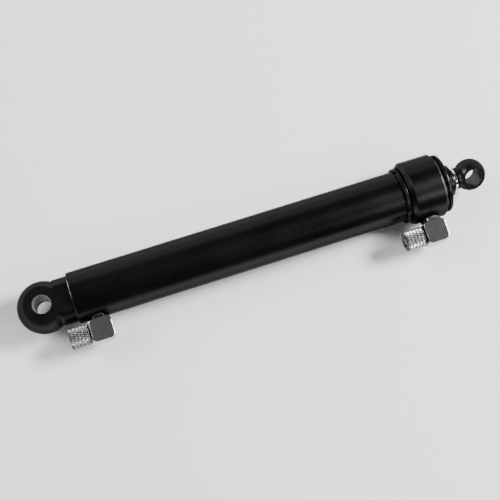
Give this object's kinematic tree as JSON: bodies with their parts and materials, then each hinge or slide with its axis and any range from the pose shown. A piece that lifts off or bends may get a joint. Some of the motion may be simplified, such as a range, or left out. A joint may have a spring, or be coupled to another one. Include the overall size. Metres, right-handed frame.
{
  "type": "telescopic hydraulic cylinder",
  "caption": "Small black telescopic hydraulic cylinder: a tube with a ball eye at each end, a stage and a rod that slide out, and swivelling elbow ports with knurled hose nuts.",
  "frame": {"origin": "centre of the rear eye's bore", "axes": "+X along the cylinder from the rear pin to the front pin, +Z along the rear bore, both ports on the -Y side"},
  "size_m": [0.1506, 0.0278, 0.02],
  "materials": {
    "black_anodised": "black anodised, satin",
    "rear_eye_black": "black anodised over fine turning marks, bare bright bore",
    "polished_washer": "bright turned",
    "bare_aluminium": "as turned",
    "chrome": "hard chrome, polished",
    "nickel": "bright nickel plate",
    "steel": "ground",
    "bronze": "turned bearing bronze",
    "blackened_steel": "black oxide, rubbed bright on its corners",
    "rubber": "smooth nitrile",
    "urethane": "smooth polyurethane",
    "wear_plastic": "filled PTFE"
  },
  "bodies": {
    "barrel": {"barrel_tube": "black_anodised", "rear_eye_cap": "rear_eye_black", "rear_cap_o_ring": "rubber", "front_collar": "black_anodised", "collar_lock_ring": "black_anodised", "front_stop_sleeve": "bare_aluminium", "gland_washer": "polished_washer", "front_gland": "black_anodised", "gland_o_ring": "rubber", "stage_1_rod_seal": "urethane", "stage_1_guide_bush": "bronze", "stage_1_wiper": "rubber", "rear_port_stem": "blackened_steel", "rear_port_washer": "rubber", "rear_stem_o_ring": "rubber", "rear_stem_snap_ring": "steel", "front_port_stem": "blackened_steel", "front_port_washer": "rubber", "front_stem_o_ring": "rubber", "front_stem_snap_ring": "steel"},
    "stage_1_seals": {"stage_1_piston_seal": "urethane", "stage_1_wear_ring": "wear_plastic"},
    "stage_1": {"stage_1_piston": "bare_aluminium", "stage_1_sleeve": "chrome", "stage_1_nose": "black_anodised", "rod_seal": "urethane", "rod_wiper": "rubber"},
    "rod_seals": {"rod_piston_seal": "urethane"},
    "rod": {"rod_piston": "bare_aluminium", "rod_piston_screw": "steel", "piston_rod": "chrome", "rod_eye": "black_anodised"},
    "rear_elbow": {"rear_elbow_block": "nickel", "rear_hose_barb": "nickel"},
    "rear_nut_carrier": {"rear_ferrule": "bronze"},
    "rear_nut": {"rear_knurled_nut": "nickel"},
    "front_elbow": {"front_elbow_block": "nickel", "front_hose_barb": "nickel"},
    "front_nut_carrier": {"front_ferrule": "bronze"},
    "front_nut": {"front_knurled_nut": "nickel"}
  },
  "joints": [
    {"name": "stage_1_slide", "type": "slide", "parent": "barrel", "child": "stage_1_seals", "axis": [1, 0, 0], "range_m": [0, 0.0749]},
    {"name": "stage_1_turn", "type": "hinge", "parent": "stage_1_seals", "child": "stage_1", "pos_m": [0, 0, 0], "axis": [1, 0, 0], "continuous": true},
    {"name": "rod_slide", "type": "slide", "parent": "stage_1", "child": "rod_seals", "axis": [1, 0, 0], "range_m": [0, 0.0749]},
    {"name": "rod_turn", "type": "hinge", "parent": "rod_seals", "child": "rod", "pos_m": [0, 0, 0], "axis": [1, 0, 0], "continuous": true},
    {"name": "rear_elbow_swivel", "type": "hinge", "parent": "barrel", "child": "rear_elbow", "pos_m": [0.01465, -0.0118, 0], "axis": [0, -1, 0], "continuous": true},
    {"name": "rear_nut_travel", "type": "slide", "parent": "rear_elbow", "child": "rear_nut_carrier", "axis": [-1, 0, 0], "range_m": [0, 0.002]},
    {"name": "rear_nut_turn", "type": "hinge", "parent": "rear_nut_carrier", "child": "rear_nut", "pos_m": [0.00765, -0.0118, 0], "axis": [-1, 0, 0], "range_deg": [0, 1440]},
    {"name": "front_elbow_swivel", "type": "hinge", "parent": "barrel", "child": "front_elbow", "pos_m": [0.1206, -0.01425, 0], "axis": [0, -1, 0], "continuous": true},
    {"name": "front_nut_travel", "type": "slide", "parent": "front_elbow", "child": "front_nut_carrier", "axis": [-1, 0, 0], "range_m": [0, 0.002]},
    {"name": "front_nut_turn", "type": "hinge", "parent": "front_nut_carrier", "child": "front_nut", "pos_m": [0.1136, -0.01425, 0], "axis": [-1, 0, 0], "range_deg": [0, 1440]}
  ],
  "couplings": [
    {"joint": "rear_nut_turn", "follows": "rear_nut_travel", "rad_per_m": 12565},
    {"joint": "front_nut_turn", "follows": "front_nut_travel", "rad_per_m": 12565}
  ]
}
